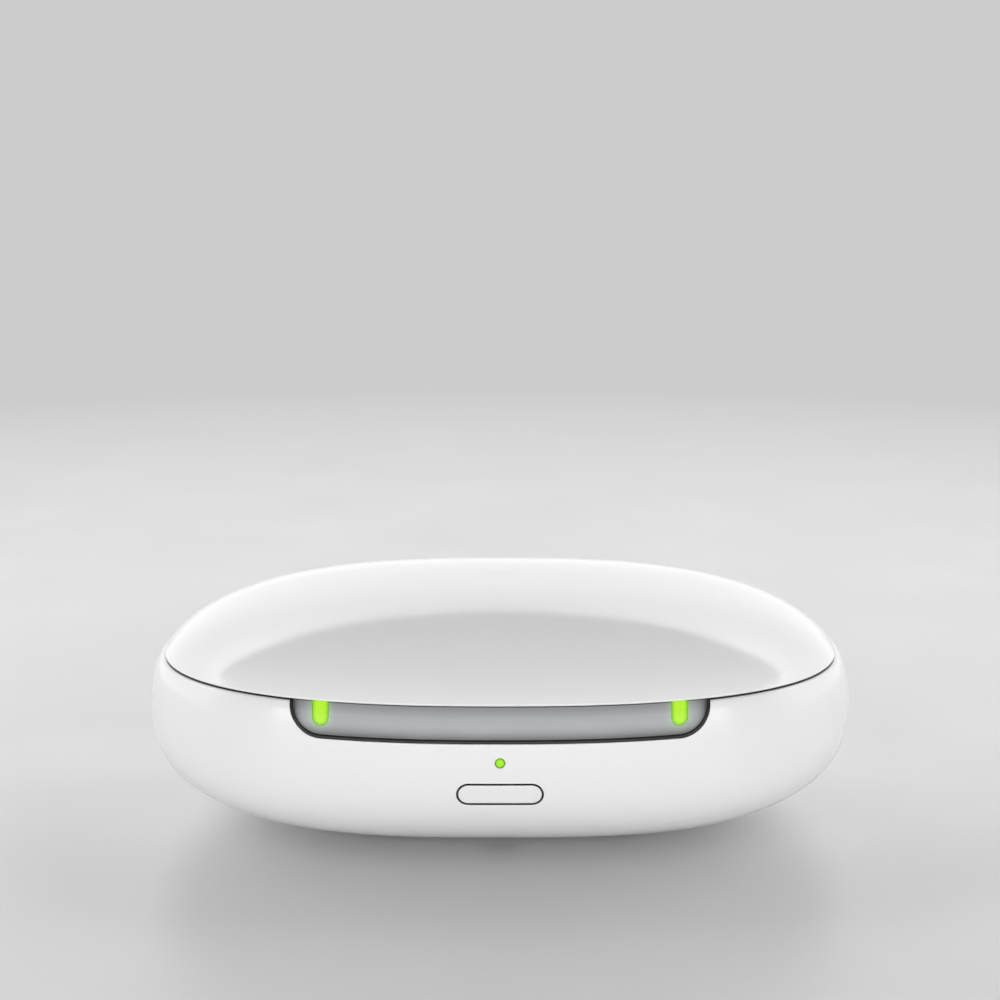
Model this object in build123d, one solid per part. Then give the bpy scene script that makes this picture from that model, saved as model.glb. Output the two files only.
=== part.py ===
from build123d import *
import bisect
import math
import os

# Closed case, a rounded pebble, in millimetres
CASE_WIDTH = 110.0
CASE_DEPTH = 77.0
PLAN_EXPONENT = 2.34  # superellipse of the widest level section
CROWN_HEIGHT = 18.99  # widest level up to the top
CROWN_EXPONENT = 2.685
CROWN_SQUARING = 0.378  # added to the plan exponent at the top
KEEL_DEPTH = 18.13  # widest level down to the underside
KEEL_EXPONENT = 2.626
KEEL_SQUARING = 0.881  # added to the plan exponent at the underside
FLOOR_GAP = 0.6  # underside above the surface that the feet stand on
POLE_SHARE = 0.12  # flat spot left at the top and underside
PLAN_POINTS = 48
SECTION_PITCH = 4.0  # between the sections of a loft, along the profile
PROFILE_STEPS = 400
WALL = 2.0
PAST = 1.0  # how far cutting tools run past what they cut

# Parting line between base and lid
SEAM_RISE = 7.88  # base rim above the widest level
SEAM_GAP = 0.3
RIM_BEVEL = 0.25

# Bottom cover, its screws and the feet
CAVITY_FLOOR = 4.0  # flat floor inside, above the table
COVER_INSET = 14.0  # cover outline inside the widest outline
COVER_GAP = 0.15
COVER_LIP = 1.5  # ledge of the shell over the cover's edge
LIP_THICK = 1.0
SEAT_GAP = 0.05
POST_EDGE = 4.1  # cover screws inside the cover outline
POST_RADIUS = 2.5
COVER_SCREW_RADIUS = 1.0
COVER_SCREW_GRIP = 6.0  # thread above the cover's inner face
COVER_HEAD_RADIUS = 2.0
COVER_HEAD_HEIGHT = 0.9
HEAD_CLEARANCE = 0.2
SOCKET_WIDTH_SHARE = 0.45  # screw socket, as shares of its head
SOCKET_DEPTH_SHARE = 0.6
FOOT_RADIUS = 3.5
FOOT_X = 18.0
FRONT_FOOT_Y = -10.5  # out of sight below the front
BACK_FOOT_Y = 17.5  # behind the centre of mass with the lid open
FOOT_HEIGHT = 3.0

# Battery and main board
TAPE_THICK = 0.3
BATTERY_WIDTH = 40.0
BATTERY_DEPTH = 30.0
BATTERY_THICK = 4.5
BATTERY_EDGE = 1.2
TAPE_MARGIN = 2.0
BOARD_OVER_BATTERY = 1.2
BOARD_THICK = 1.0
BOARD_MARGIN_X = 7.0  # board edge inside the widest cavity outline
BOARD_MARGIN_Y = 4.5
BOARD_HOLE_CLEARANCE = 0.4
BOARD_SCREW_Y = 11.0
BOARD_SCREW_BESIDE = 4.7  # board screws outboard of the cradles
BOARD_STUB_RADIUS = 2.2
BOARD_SCREW_RADIUS = 0.9
BOARD_SCREW_GRIP = 5.0
BOARD_HEAD_RADIUS = 1.8
BOARD_HEAD_HEIGHT = 0.9
CONNECTOR_SIZE = (5.0, 5.0, 3.2)
CONNECTOR_REACH = 4.5  # battery end to the connector
LEAD_RADIUS = 0.4
LEAD_PITCH = 1.6

# Cradles for the two hearing aids, coils and ferrites under them
CRADLE_X = 26.4
CRADLE_WIDTH = 10.8
CRADLE_LENGTH = 29.0
LINER_WALL = 1.0
LINER_FLANGE = 1.1
LINER_FLANGE_THICK = 0.6
LINER_CLEARANCE = 0.15
FERRITE_THICK = 0.5
FERRITE_RADIUS = 5.6
COIL_THICK = 0.8
COIL_RADIUS = 5.0
COIL_HOLE_RADIUS = 2.2
COIL_GAP = 0.1

# Charging deck with the receiver well between the cradles
DECK_BELOW_RIM = 1.15
DECK_THICK = 1.6
DECK_CLEARANCE = 0.3
DECK_LEDGE = 2.5
LEDGE_THICK = 1.2
DECK_RIB = 3.9  # deck between a cradle flange and the well
WELL_WALL = 1.6
WELL_DEPTH = 6.0
WELL_CORNER = 5.0

# Front window, its gasket and the two green lights
WINDOW_BEYOND_LIGHT = 4.55
WINDOW_RISE = 2.9  # opening's lower edge above the widest level
WINDOW_CORNER = 4.6
GASKET_WIDTH = 0.34
GASKET_SET_BACK = 0.25
WINDOW_SET_BACK = 0.95
WINDOW_FLANGE = 1.6
WINDOW_FLANGE_THICK = 0.6
WINDOW_FIT = 0.05
LIGHT_WIDTH = 2.4
LIGHT_RISE = 4.57  # round end above the widest level
PIPE_BACK = 1.2  # light pipe behind the window before it steps down
PIPE_DROP = 1.9  # stepped pipe below the deck

# Front board with lights and switch
FRONT_BOARD_SET_BACK = 9.3
FRONT_BOARD_HALF_WIDTH = 29.0
FRONT_BOARD_THICK = 1.0
FRONT_BOARD_GAP = 0.2
LED_SIZE = (1.6, 0.8, 1.2)
LED_GAP = 0.1
STATUS_RISE = 0.1  # status light above the widest level
STATUS_RADIUS = 0.73
STATUS_FIT = 0.05
HEADER_SIZE = (12.0, 2.2, 2.4)

# Button, moving straight in
BUTTON_WIDTH = 12.2
BUTTON_HEIGHT = 2.9
BUTTON_DROP = 4.8  # below the widest level
BUTTON_GAP = 0.32
BUTTON_SET_BACK = 0.05
BUTTON_TRAVEL = 0.5
BUTTON_FLANGE = 1.2
BUTTON_FLANGE_THICK = 1.0
BUTTON_CLEARANCE = 0.3
SWITCH_WIDTH = 6.0
SWITCH_HEIGHT = 3.5
SWITCH_DEPTH = 2.5
STEM_RADIUS = 1.6
PLUNGER_RADIUS = 0.9
PLUNGER_FIT = 0.08
PLUNGER_SHOWN = 0.6
PLUNGER_LENGTH = 1.6

# Hinge across the back
HINGE_HALF_WIDTH = 15.8
KNUCKLE_HALF_WIDTH = 7.5  # middle knuckle, on the lid
KNUCKLE_GAP = 0.3
BARREL_RADIUS = 1.9
BARREL_CLEARANCE = 0.35
LEAF_CLEARANCE = 1.1  # notch in the base wall ahead of the barrel's room, for the leaf
PIN_RADIUS = 0.8
PIN_FIT = 0.05
LEAF_THICK = 1.2
BASE_LEAF_THICK = 1.0
LEAF_REACH = 10.3  # leaf's inner edge ahead of the axis
LEAF_RISE = 0.6  # lid leaf's underside above the axis
HINGE_SCREW_REACH = 7.4
LID_SCREW_X = 4.5
BASE_SCREW_X = 11.8
HINGE_SCREW_RADIUS = 0.75
HINGE_SCREW_GRIP = 3.2
HINGE_HEAD_RADIUS = 1.5
HINGE_HEAD_HEIGHT = 0.6
HINGE_BOSS_RADIUS = 2.0

# Magnets, bumpers and pads that hold what is inside
MAGNET_RADIUS = 2.0
MAGNET_THICK = 2.0
MAGNET_CUP = 1.0
MAGNET_SKIN = 0.4
MAGNET_EDGE_X = 12.5
MAGNET_EDGE_Y = 17.9
MAGNET_FIT = 0.05
BUMPER_RADIUS = 1.1
BUMPER_X = 36.0
BUMPER_GAP = 0.3
LINER_GAP = 0.15
LID_LINER_THICK = 1.2
LID_LINER_RISE = 0.55  # liner's edge above the lid's
PAD_WIDTH = 9.0
PAD_LENGTH = 22.0
PAD_DROP = 2.75
PAD_GAP = 0.05

# USB-C inlet at the back
USB_WIDTH = 8.94
USB_HEIGHT = 3.26
USB_LENGTH = 7.4
USB_SKIN = 0.35
USB_ROOT = 1.0  # closed back end
USB_SET_BACK = 1.5
USB_GAP = 0.35
TONGUE_WIDTH = 6.7
TONGUE_THICK = 0.7
TONGUE_LENGTH = 5.2

# Levels and places that follow from the sizes above
WIDEST_Z = FLOOR_GAP + KEEL_DEPTH
RIM_Z = WIDEST_Z + SEAM_RISE
LID_EDGE_Z = RIM_Z + SEAM_GAP
HALF_WIDTH = CASE_WIDTH / 2
HALF_DEPTH = CASE_DEPTH / 2
BEYOND = 5 * PAST
COVER_HALF_WIDTH = HALF_WIDTH - COVER_INSET
COVER_HALF_DEPTH = HALF_DEPTH - COVER_INSET
POST_PLACES = [
    (COVER_HALF_WIDTH - POST_EDGE, 0),
    (POST_EDGE - COVER_HALF_WIDTH, 0),
    (0, COVER_HALF_DEPTH - POST_EDGE),
    (0, POST_EDGE - COVER_HALF_DEPTH),
]
BATTERY_Z = CAVITY_FLOOR + TAPE_THICK
BOARD_Z = BATTERY_Z + BATTERY_THICK + BOARD_OVER_BATTERY
BOARD_TOP = BOARD_Z + BOARD_THICK
COIL_Z = BOARD_TOP + FERRITE_THICK
LINER_Z = COIL_Z + COIL_THICK + COIL_GAP
DECK_TOP = RIM_Z - DECK_BELOW_RIM
DECK_Z = DECK_TOP - DECK_THICK
LINER_HALF_WIDTH = CRADLE_WIDTH / 2 + LINER_WALL
WELL_HALF_WIDTH = CRADLE_X - LINER_HALF_WIDTH - LINER_FLANGE - DECK_RIB
WELL_HALF_DEPTH = COVER_HALF_DEPTH - POST_EDGE - POST_RADIUS - WELL_WALL - DECK_CLEARANCE
WELL_FLOOR = DECK_TOP - WELL_DEPTH
BOARD_HALF_WIDTH = HALF_WIDTH - WALL - BOARD_MARGIN_X
BOARD_HALF_DEPTH = HALF_DEPTH - WALL - BOARD_MARGIN_Y
BOARD_SCREW_X = CRADLE_X + LINER_HALF_WIDTH + BOARD_SCREW_BESIDE
BOARD_SCREW_PLACES = [(i * BOARD_SCREW_X, j * BOARD_SCREW_Y) for i in (-1, 1) for j in (-1, 1)]
WINDOW_HALF_WIDTH = CRADLE_X + WINDOW_BEYOND_LIGHT
WINDOW_Z = WIDEST_Z + WINDOW_RISE
WINDOW_BACK = WALL + WINDOW_FIT + WINDOW_FLANGE_THICK
WINDOW_TOP = RIM_Z - WINDOW_FIT
FRONT_BOARD_FACE = FRONT_BOARD_SET_BACK - HALF_DEPTH
LIGHT_Z = DECK_Z - FRONT_BOARD_GAP - PIPE_DROP / 2
STATUS_Z = WIDEST_Z + STATUS_RISE
BUTTON_Z = WIDEST_Z - BUTTON_DROP
SWITCH_FACE = FRONT_BOARD_FACE - SWITCH_DEPTH
HINGE_Y = HALF_DEPTH - BARREL_RADIUS
HINGE_Z = RIM_Z + SEAM_GAP / 2
HINGE_NOTCH = HINGE_HALF_WIDTH + KNUCKLE_GAP
BARREL_CLEAR_Y = HINGE_Y - BARREL_RADIUS - BARREL_CLEARANCE
LEAF_Y = HINGE_Y - LEAF_REACH
HINGE_SCREW_Y = HINGE_Y - HINGE_SCREW_REACH
LID_LEAF_Z = HINGE_Z + LEAF_RISE
LID_LINER_OUTER = WALL + LINER_GAP
LID_LINER_INNER = LID_LINER_OUTER + LID_LINER_THICK
LID_LINER_Z = LID_EDGE_Z + LID_LINER_RISE
USB_Z = BOARD_TOP + USB_HEIGHT / 2


def signed_power(value, exponent):
    return math.copysign(abs(value) ** exponent, value)


def half_of_pebble(z, inset):
    """Height and exponent of the half that a level lies in."""
    if z >= WIDEST_Z:
        return CROWN_HEIGHT - inset, CROWN_EXPONENT
    return KEEL_DEPTH - inset, KEEL_EXPONENT


def plan_exponent(z, inset):
    """Superellipse exponent of a level section, squarer towards the top and the underside."""
    squaring = CROWN_SQUARING if z >= WIDEST_Z else KEEL_SQUARING
    rise = min(abs(z - WIDEST_Z) / half_of_pebble(z, inset)[0], 1.0)
    return PLAN_EXPONENT + squaring * rise**2


def share_at(z, inset):
    """Size of the level section as a share of the widest one."""
    height, exponent = half_of_pebble(z, inset)
    rise = min(abs(z - WIDEST_Z) / height, 1.0)
    return (1 - rise**exponent) ** (1 / exponent)


def half_depth_at(x, z, inset):
    """Half depth of a level section beside the middle."""
    share = share_at(z, inset)
    exponent = plan_exponent(z, inset)
    reach = 1 - abs(x / ((HALF_WIDTH - inset) * share)) ** exponent
    return (HALF_DEPTH - inset) * share * reach ** (1 / exponent)


def profile_share(x, y, inset):
    """Distance from the middle as a share of the widest section, for points near an axis."""
    reach = abs(x / (HALF_WIDTH - inset)) ** PLAN_EXPONENT
    reach += abs(y / (HALF_DEPTH - inset)) ** PLAN_EXPONENT
    return reach ** (1 / PLAN_EXPONENT)


def keel_z(x, y):
    """Level of the outer surface below a point near an axis."""
    fall = (1 - profile_share(x, y, 0) ** KEEL_EXPONENT) ** (1 / KEEL_EXPONENT)
    return WIDEST_Z - KEEL_DEPTH * fall


def crown_z(x, y, inset):
    """Level of the upper surface above a point near an axis."""
    rise = (1 - profile_share(x, y, inset) ** CROWN_EXPONENT) ** (1 / CROWN_EXPONENT)
    return WIDEST_Z + (CROWN_HEIGHT - inset) * rise


def plan_face(half_width, half_depth, z, exponent):
    """Level superellipse."""
    points = []
    for i in range(PLAN_POINTS):
        angle = 2 * math.pi * i / PLAN_POINTS
        x = half_width * signed_power(math.cos(angle), 2 / exponent)
        y = half_depth * signed_power(math.sin(angle), 2 / exponent)
        points.append((x, y, z))
    return Face(Wire([Edge.make_spline(points, periodic=True)]))


def level_angle(z, inset):
    """Place of a level along the profile, from the widest level at 0 to the poles."""
    height, exponent = half_of_pebble(z, inset)
    rise = min(abs(z - WIDEST_Z) / height, 1.0)
    angle = math.asin(rise ** (exponent / 2))
    pole = math.acos(POLE_SHARE ** (exponent / 2))
    return math.copysign(min(angle, pole), z - WIDEST_Z)


def profile_point(angle, inset):
    """Share of the widest section, and level, at a place along the profile."""
    height, exponent = half_of_pebble(WIDEST_Z + angle, inset)
    rise = height * abs(math.sin(angle)) ** (2 / exponent)
    return math.cos(angle) ** (2 / exponent), WIDEST_Z + math.copysign(rise, angle)


def section_angles(first, last, inset):
    """Places of a loft's sections, evenly spaced by length so that it stays smooth."""
    radius = (HALF_WIDTH + HALF_DEPTH) / 2 - inset
    angles = [first + (last - first) * i / PROFILE_STEPS for i in range(PROFILE_STEPS + 1)]
    points = [profile_point(angle, inset) for angle in angles]
    lengths = [0.0]
    for (share, z), (next_share, next_z) in zip(points, points[1:]):
        lengths.append(lengths[-1] + math.hypot((next_share - share) * radius, next_z - z))
    spans = max(2, math.ceil(lengths[-1] / SECTION_PITCH))
    places = [lengths[-1] * i / spans for i in range(1, spans)]
    inner = [angles[bisect.bisect(lengths, place)] for place in places]
    return [first, *inner, last]


def pebble_section(angle, inset):
    share, z = profile_point(angle, inset)
    sizes = ((HALF_WIDTH - inset) * share, (HALF_DEPTH - inset) * share)
    return plan_face(*sizes, z, plan_exponent(z, inset))


def pebble(inset=0.0, low=0.0, high=1000.0):
    """Slice of the pebble between two levels, inset from its outer surface."""
    angles = section_angles(level_angle(low, inset), level_angle(high, inset), inset)
    return loft([pebble_section(angle, inset) for angle in angles])


def plan_prism(half_width, half_depth, low, high, exponent=PLAN_EXPONENT):
    return extrude(plan_face(half_width, half_depth, low, exponent), high - low, dir=(0, 0, 1))


def slab(x, y, z):
    """Box from three (low, high) pairs."""
    size = [pair[1] - pair[0] for pair in (x, y, z)]
    middle = [(pair[1] + pair[0]) / 2 for pair in (x, y, z)]
    return Pos(*middle) * Box(*size)


def post(x, y, low, high, radius):
    return Pos(x, y, (low + high) / 2) * Cylinder(radius, high - low)


def rod_across(low, high, y, z, radius):
    """Cylinder along X."""
    return Pos((low + high) / 2, y, z) * Rot(0, 90, 0) * Cylinder(radius, high - low)


def along_depth(outline, front, back):
    """Outline drawn in X and Z, swept between two depths."""
    return extrude(Plane.XZ.offset(-back) * outline, back - front)


def upright_slot(width, length, low, high):
    """Slot lying along Y, swept between two levels."""
    return extrude(Pos(0, 0, low) * SlotOverall(length, width, rotation=90), high - low)


def level_slot(width, height, x, z, front, back):
    """Slot lying along X in the front or back wall, swept between two depths."""
    return along_depth(Pos(x, z) * SlotOverall(width, height), front, back)


def window_prism(growth):
    """Window opening, open at the rim, through the front of the case."""
    low = WINDOW_Z - growth
    high = RIM_Z + 2 * WINDOW_CORNER
    outline = RectangleRounded(2 * (WINDOW_HALF_WIDTH + growth), high - low, WINDOW_CORNER + growth)
    return along_depth(Pos(0, (low + high) / 2) * outline, -HALF_DEPTH - BEYOND, 0)


def light_outline(x, growth):
    """Light with a round lower end that runs up past the rim."""
    half = LIGHT_WIDTH / 2 + growth
    low = WIDEST_Z + LIGHT_RISE + LIGHT_WIDTH / 2
    upper = Pos(x, (low + RIM_Z + BEYOND) / 2) * Rectangle(2 * half, RIM_Z + BEYOND - low)
    return Pos(x, low) * Circle(half) + upper


def screw(x, y, seat, way, radius, grip, head_radius, head_height):
    """Screw along Z: level of its head's seat, and the way its thread points, 1 or -1."""
    head_end = seat - way * head_height
    socket_end = head_end + way * head_height * SOCKET_DEPTH_SHARE
    shank = post(x, y, *sorted((seat, seat + way * grip)), radius)
    head = post(x, y, *sorted((seat, head_end)), head_radius)
    socket = post(x, y, *sorted((socket_end, head_end)), head_radius * SOCKET_WIDTH_SHARE)
    return shank + head - socket


def group(solids):
    return Compound(children=list(solids))


def deck_outline():
    """Half sizes of the deck, which drops through the rim."""
    share = share_at(RIM_Z, WALL)
    half_width = (HALF_WIDTH - WALL) * share - DECK_CLEARANCE
    return half_width, (HALF_DEPTH - WALL) * share - DECK_CLEARANCE


def deck_exponent():
    return plan_exponent(RIM_Z, WALL)


def magnet_places():
    half_width, half_depth = deck_outline()
    return [(i * (half_width - MAGNET_EDGE_X), MAGNET_EDGE_Y - half_depth) for i in (-1, 1)]


def cover_ring(outer, inner):
    """Ring along the cover's outline, between two growths of it."""
    ring = plan_prism(COVER_HALF_WIDTH + outer, COVER_HALF_DEPTH + outer, 0, WIDEST_Z)
    return ring - plan_prism(COVER_HALF_WIDTH + inner, COVER_HALF_DEPTH + inner, 0, WIDEST_Z)


def cover_lip():
    """Ledge of the shell that overlaps the cover's edge from inside."""
    core = pebble(WALL + LIP_THICK, 0, WIDEST_Z + PAST)
    over_cover = pebble(WALL + SEAT_GAP, CAVITY_FLOOR + SEAT_GAP, WIDEST_Z) - core
    on_wall = pebble(WALL - SEAT_GAP, 0, WIDEST_Z) - core
    over_cover &= cover_ring(COVER_LIP, -COVER_LIP)
    return over_cover + (on_wall & cover_ring(COVER_LIP, COVER_GAP))


def deck_ledge():
    """Ledge inside the shell that carries the deck, cut away behind the window."""
    half_width, half_depth = deck_outline()
    low = DECK_Z - LEDGE_THICK
    ring = pebble(WALL - SEAT_GAP, low, DECK_Z)
    tool = (low - PAST, DECK_Z + PAST)
    ring -= plan_prism(half_width - DECK_LEDGE, half_depth - DECK_LEDGE, *tool, deck_exponent())
    clear = WINDOW_HALF_WIDTH + WINDOW_FLANGE + WINDOW_FIT
    return ring - slab((-clear, clear), (-HALF_DEPTH, 0), tool)


def hinge_notch(front, low, high):
    """Room for the hinge barrel in the back wall."""
    return slab((-HINGE_NOTCH, HINGE_NOTCH), (front, HALF_DEPTH + BEYOND), (low, high))


def bevelled(solid, end):
    """Solid with the outer edge of its parting face bevelled, 0 for its low end or -1."""
    return chamfer(solid.edges().group_by(Axis.Z)[end], RIM_BEVEL)


def base_walls():
    return bevelled(pebble(0, 0, RIM_Z), -1) - pebble(WALL, CAVITY_FLOOR, RIM_Z + PAST)


def make_base_shell():
    hole = (COVER_HALF_WIDTH + COVER_GAP, COVER_HALF_DEPTH + COVER_GAP)
    shell = base_walls() - plan_prism(*hole, -PAST, CAVITY_FLOOR + BEYOND)
    shell += cover_lip() + deck_ledge()
    shell -= window_prism(0)
    status_hole = Pos(0, STATUS_Z) * Circle(STATUS_RADIUS + STATUS_FIT)
    shell -= along_depth(status_hole, -HALF_DEPTH - PAST, 0)
    button_hole = (BUTTON_WIDTH + 2 * BUTTON_GAP, BUTTON_HEIGHT + 2 * BUTTON_GAP)
    shell -= level_slot(*button_hole, 0, BUTTON_Z, -HALF_DEPTH - PAST, -HALF_DEPTH / 2)
    usb_hole = (USB_WIDTH + 2 * USB_GAP, USB_HEIGHT + 2 * USB_GAP)
    shell -= level_slot(*usb_hole, 0, USB_Z, HALF_DEPTH / 2, HALF_DEPTH + PAST)
    notch_low = HINGE_Z - BARREL_RADIUS - BARREL_CLEARANCE
    return shell - hinge_notch(BARREL_CLEAR_Y - LEAF_CLEARANCE, notch_low, RIM_Z + PAST)


def make_bottom_cover():
    cover = base_walls() & plan_prism(COVER_HALF_WIDTH, COVER_HALF_DEPTH, 0, CAVITY_FLOOR + BEYOND)
    for x, y in POST_PLACES:
        seat = keel_z(x, y) + COVER_HEAD_HEIGHT + HEAD_CLEARANCE
        cover -= post(x, y, 0, seat, COVER_HEAD_RADIUS + HEAD_CLEARANCE)
        cover -= post(x, y, 0, seat + BEYOND, COVER_SCREW_RADIUS + HEAD_CLEARANCE / 2)
    for x, y in foot_places():
        cover -= post(x, y, -1, FOOT_HEIGHT, FOOT_RADIUS + SEAT_GAP)
    return cover


def foot_places():
    return [(x, y) for x in (-FOOT_X, FOOT_X) for y in (FRONT_FOOT_Y, BACK_FOOT_Y)]


def make_rubber_feet():
    feet = []
    for x, y in foot_places():
        foot = post(x, y, 0, FOOT_HEIGHT, FOOT_RADIUS)
        feet.append(chamfer(foot.edges().group_by(Axis.Z)[0], FLOOR_GAP / 2))
    return group(feet)


def make_bottom_screws():
    screws = []
    sizes = (COVER_SCREW_RADIUS, COVER_SCREW_GRIP + WALL, COVER_HEAD_RADIUS, COVER_HEAD_HEIGHT)
    for x, y in POST_PLACES:
        seat = keel_z(x, y) + COVER_HEAD_HEIGHT + HEAD_CLEARANCE
        screws.append(screw(x, y, seat, 1, *sizes))
    return group(screws)


def deck_posts():
    """Long posts that the cover screws into, and stubs that hold the main board."""
    posts = [post(x, y, 0, DECK_Z, POST_RADIUS) for x, y in POST_PLACES]
    floor = pebble(WALL + SEAT_GAP, CAVITY_FLOOR + SEAT_GAP, RIM_Z)
    shapes = [one & floor for one in posts]
    shapes += [post(x, y, BOARD_TOP, DECK_Z, BOARD_STUB_RADIUS) for x, y in BOARD_SCREW_PLACES]
    return shapes


def deck_screw_holes():
    holes = []
    for x, y in POST_PLACES:
        top = keel_z(x, y) + COVER_HEAD_HEIGHT + HEAD_CLEARANCE + COVER_SCREW_GRIP + WALL
        holes.append(post(x, y, 0, top + SEAT_GAP, COVER_SCREW_RADIUS + SEAT_GAP))
    for x, y in BOARD_SCREW_PLACES:
        holes.append(post(x, y, 0, BOARD_Z + BOARD_SCREW_GRIP + SEAT_GAP, BOARD_SCREW_RADIUS + SEAT_GAP))
    for x in (-BASE_SCREW_X, BASE_SCREW_X):
        low = DECK_TOP - HINGE_SCREW_GRIP - SEAT_GAP
        holes.append(post(x, HINGE_SCREW_Y, low, DECK_TOP + PAST, HINGE_SCREW_RADIUS + SEAT_GAP))
    return holes


def make_charging_deck():
    deck = plan_prism(*deck_outline(), DECK_Z, DECK_TOP, deck_exponent())
    well_low = WELL_FLOOR - WELL_WALL
    outer = RectangleRounded(
        2 * (WELL_HALF_WIDTH + WELL_WALL), 2 * (WELL_HALF_DEPTH + WELL_WALL), WELL_CORNER + WELL_WALL
    )
    inner = RectangleRounded(2 * WELL_HALF_WIDTH, 2 * WELL_HALF_DEPTH, WELL_CORNER)
    deck += extrude(Pos(0, 0, well_low) * outer, DECK_Z - well_low)
    for shape in deck_posts():
        deck += shape
    for x in (-BASE_SCREW_X, BASE_SCREW_X):
        boss_low = DECK_TOP - HINGE_SCREW_GRIP - LINER_WALL
        deck += post(x, HINGE_SCREW_Y, boss_low, DECK_Z, HINGE_BOSS_RADIUS)
    for x, y in magnet_places():
        magnet_low = DECK_TOP - MAGNET_SKIN - MAGNET_THICK
        deck += post(x, y, magnet_low, DECK_Z, MAGNET_RADIUS + MAGNET_CUP)
        deck -= post(x, y, magnet_low - PAST, DECK_TOP - MAGNET_SKIN, MAGNET_RADIUS + MAGNET_FIT)
    deck -= extrude(Pos(0, 0, WELL_FLOOR) * inner, WELL_DEPTH + PAST)
    width = CRADLE_WIDTH + 2 * (LINER_WALL + LINER_CLEARANCE)
    length = CRADLE_LENGTH + 2 * (LINER_WALL + LINER_CLEARANCE)
    through = (DECK_Z - PAST, DECK_TOP + PAST)
    notch_half = LIGHT_WIDTH / 2 + LINER_CLEARANCE
    for x in (-CRADLE_X, CRADLE_X):
        deck -= Pos(x, 0, 0) * upright_slot(width, length, *through)
        notch = (x - notch_half, x + notch_half)
        deck -= slab(notch, (-HALF_DEPTH, pipe_back_y() + LINER_CLEARANCE), through)
    for hole in deck_screw_holes():
        deck -= hole
    return deck - hinge_notch(BARREL_CLEAR_Y, *through)


def make_cradle_liner(x):
    width = CRADLE_WIDTH + 2 * LINER_WALL
    length = CRADLE_LENGTH + 2 * LINER_WALL
    flange_top = DECK_TOP + LINER_FLANGE_THICK
    liner = upright_slot(width, length, LINER_Z, flange_top)
    flange = upright_slot(width + 2 * LINER_FLANGE, length + 2 * LINER_FLANGE, DECK_TOP, flange_top)
    liner += fillet(flange.edges().group_by(Axis.Z)[-1], LINER_FLANGE_THICK / 2)
    liner -= upright_slot(CRADLE_WIDTH, CRADLE_LENGTH, LINER_Z + LINER_WALL, flange_top + PAST)
    return Pos(x, 0, 0) * liner


def make_charging_coil(x):
    ring = post(x, 0, COIL_Z, COIL_Z + COIL_THICK, COIL_RADIUS)
    return ring - post(x, 0, COIL_Z - PAST, COIL_Z + COIL_THICK + PAST, COIL_HOLE_RADIUS)


def make_ferrite_shields():
    return group(post(x, 0, BOARD_TOP, COIL_Z, FERRITE_RADIUS) for x in (-CRADLE_X, CRADLE_X))


def make_main_board():
    board = plan_prism(BOARD_HALF_WIDTH, BOARD_HALF_DEPTH, BOARD_Z, BOARD_TOP)
    through = (BOARD_Z - PAST, BOARD_TOP + PAST)
    for x, y in POST_PLACES:
        board -= post(x, y, *through, POST_RADIUS + BOARD_HOLE_CLEARANCE)
    for x, y in BOARD_SCREW_PLACES:
        board -= post(x, y, *through, BOARD_SCREW_RADIUS + SEAT_GAP)
    return board


def make_board_screws():
    screws = []
    for x, y in BOARD_SCREW_PLACES:
        sizes = (BOARD_SCREW_RADIUS, BOARD_SCREW_GRIP, BOARD_HEAD_RADIUS, BOARD_HEAD_HEIGHT)
        screws.append(screw(x, y, BOARD_Z, 1, *sizes))
    return group(screws)


def make_board_chips():
    """Controller, charger and drivers: centre, size and height of each."""
    chips = [
        (0, -4, 7.0, 7.0, 1.0),
        (-11, 4, 4.0, 4.0, 0.9),
        (11, 4, 4.0, 4.0, 0.9),
        (0, 10, 5.0, 4.0, 2.0),
        (-10, -10, 3.0, 2.0, 0.8),
        (10, -10, 3.0, 2.0, 0.8),
    ]
    solids = []
    for x, y, width, depth, height in chips:
        sides = ((x - width / 2, x + width / 2), (y - depth / 2, y + depth / 2))
        solids.append(slab(*sides, (BOARD_TOP, BOARD_TOP + height)))
    return group(solids)


def make_battery():
    sides = ((-BATTERY_WIDTH / 2, BATTERY_WIDTH / 2), (-BATTERY_DEPTH / 2, BATTERY_DEPTH / 2))
    cell = slab(*sides, (BATTERY_Z, BATTERY_Z + BATTERY_THICK))
    return fillet(cell.edges(), BATTERY_EDGE)


def make_battery_tape():
    half_width = BATTERY_WIDTH / 2 - TAPE_MARGIN
    half_depth = BATTERY_DEPTH / 2 - TAPE_MARGIN
    return slab((-half_width, half_width), (-half_depth, half_depth), (CAVITY_FLOOR, BATTERY_Z))


def make_battery_connector():
    x = -BATTERY_WIDTH / 2 - CONNECTOR_REACH
    width, depth, height = CONNECTOR_SIZE
    return slab((x - width, x), (-depth / 2, depth / 2), (BOARD_Z - height, BOARD_Z))


def make_battery_lead():
    """Two short straight wires from the battery's end to its connector."""
    end = -BATTERY_WIDTH / 2
    z = BATTERY_Z + BATTERY_THICK - BATTERY_EDGE - LEAD_RADIUS
    wires = (-LEAD_PITCH / 2, LEAD_PITCH / 2)
    return group(rod_across(end - CONNECTOR_REACH, end, y, z, LEAD_RADIUS) for y in wires)


def make_front_board():
    faces = (FRONT_BOARD_FACE, FRONT_BOARD_FACE + FRONT_BOARD_THICK)
    sides = (-FRONT_BOARD_HALF_WIDTH, FRONT_BOARD_HALF_WIDTH)
    return slab(sides, faces, (BOARD_TOP, DECK_Z - FRONT_BOARD_GAP))


def make_light_leds():
    width, depth, height = LED_SIZE
    leds = []
    for x, z in ((-CRADLE_X, LIGHT_Z), (CRADLE_X, LIGHT_Z), (0, STATUS_Z)):
        sides = ((x - width / 2, x + width / 2), (FRONT_BOARD_FACE - depth, FRONT_BOARD_FACE))
        leds.append(slab(*sides, (z - height / 2, z + height / 2)))
    return group(leds)


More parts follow.
